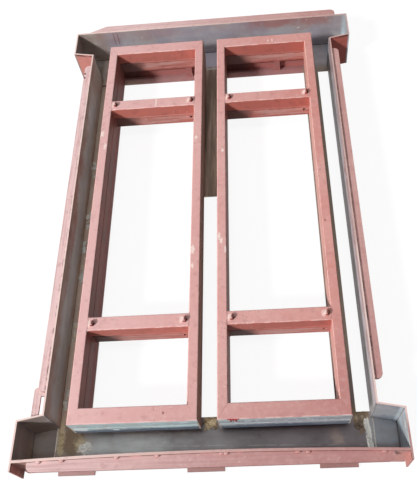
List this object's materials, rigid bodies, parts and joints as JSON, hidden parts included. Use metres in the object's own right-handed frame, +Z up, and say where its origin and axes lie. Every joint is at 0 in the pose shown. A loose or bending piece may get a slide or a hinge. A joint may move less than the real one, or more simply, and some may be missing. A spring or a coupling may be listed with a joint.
{
  "type": "window frame mould",
  "caption": "Steel casting mould for a concrete window frame: a shallow walled tray with corner horns around bolted tube cores that leave the window openings.",
  "frame": {"origin": "on the ground under the middle of the mould", "axes": "+X across the mould to the right, +Y from the sill end to the head end, +Z up"},
  "size_m": [0.88, 1.42, 0.126],
  "materials": {
    "tray_wall": "red oxide paint outside and on the rim, bare worn steel with cement film inside",
    "floor_steel": "bare worn steel with cement film",
    "stiffener": "faded red oxide paint",
    "core_upper_tube": "faded red oxide paint, worn to steel on the outer faces",
    "core_lower_tube": "dull red oxide paint with cement film",
    "rebate_steel": "bare steel, stained",
    "fastener": "painted over with the core"
  },
  "bodies": {
    "root": {"core_bolts": "fastener", "core_nuts": "fastener", "foot_lugs": "stiffener", "head_floor_plate": "floor_steel", "head_left_horn_end_plate": "tray_wall", "head_left_horn_return_plate": "tray_wall", "head_right_horn_end_plate": "tray_wall", "head_right_horn_return_plate": "tray_wall", "head_stiffening_bar": "stiffener", "head_wall": "tray_wall", "left_core_head_leg": "rebate_steel", "left_core_lower_head_rail": "core_lower_tube", "left_core_lower_head_transom": "core_lower_tube", "left_core_lower_left_stile": "core_lower_tube", "left_core_lower_right_stile": "core_lower_tube", "left_core_lower_sill_rail": "core_lower_tube", "left_core_lower_sill_transom": "core_lower_tube", "left_core_rebate_head_flat": "rebate_steel", "left_core_rebate_left_flat": "rebate_steel", "left_core_rebate_right_flat": "rebate_steel", "left_core_rebate_sill_flat": "rebate_steel", "left_core_upper_head_rail": "core_upper_tube", "left_core_upper_head_transom": "core_upper_tube", "left_core_upper_left_stile": "core_upper_tube", "left_core_upper_right_stile": "core_upper_tube", "left_core_upper_sill_rail": "core_upper_tube", "left_core_upper_sill_transom": "core_upper_tube", "left_jamb_floor_plate": "floor_steel", "left_side_wall": "tray_wall", "left_stiffening_bar": "stiffener", "mullion_floor_plate": "floor_steel", "right_core_head_leg": "rebate_steel", "right_core_lower_head_rail": "core_lower_tube", "right_core_lower_head_transom": "core_lower_tube", "right_core_lower_left_stile": "core_lower_tube", "right_core_lower_right_stile": "core_lower_tube", "right_core_lower_sill_rail": "core_lower_tube", "right_core_lower_sill_transom": "core_lower_tube", "right_core_rebate_head_flat": "rebate_steel", "right_core_rebate_left_flat": "rebate_steel", "right_core_rebate_right_flat": "rebate_steel", "right_core_rebate_sill_flat": "rebate_steel", "right_core_upper_head_rail": "core_upper_tube", "right_core_upper_head_transom": "core_upper_tube", "right_core_upper_left_stile": "core_upper_tube", "right_core_upper_right_stile": "core_upper_tube", "right_core_upper_sill_rail": "core_upper_tube", "right_core_upper_sill_transom": "core_upper_tube", "right_jamb_floor_strip": "floor_steel", "right_side_wall": "tray_wall", "right_stiffening_bar": "stiffener", "sill_floor_plate": "floor_steel", "sill_left_horn_end_plate": "tray_wall", "sill_left_horn_return_plate": "tray_wall", "sill_left_slotted_bracket": "stiffener", "sill_right_horn_end_plate": "tray_wall", "sill_right_horn_return_plate": "tray_wall", "sill_stiffening_bar": "stiffener", "sill_wall": "tray_wall"}
  },
  "joints": []
}
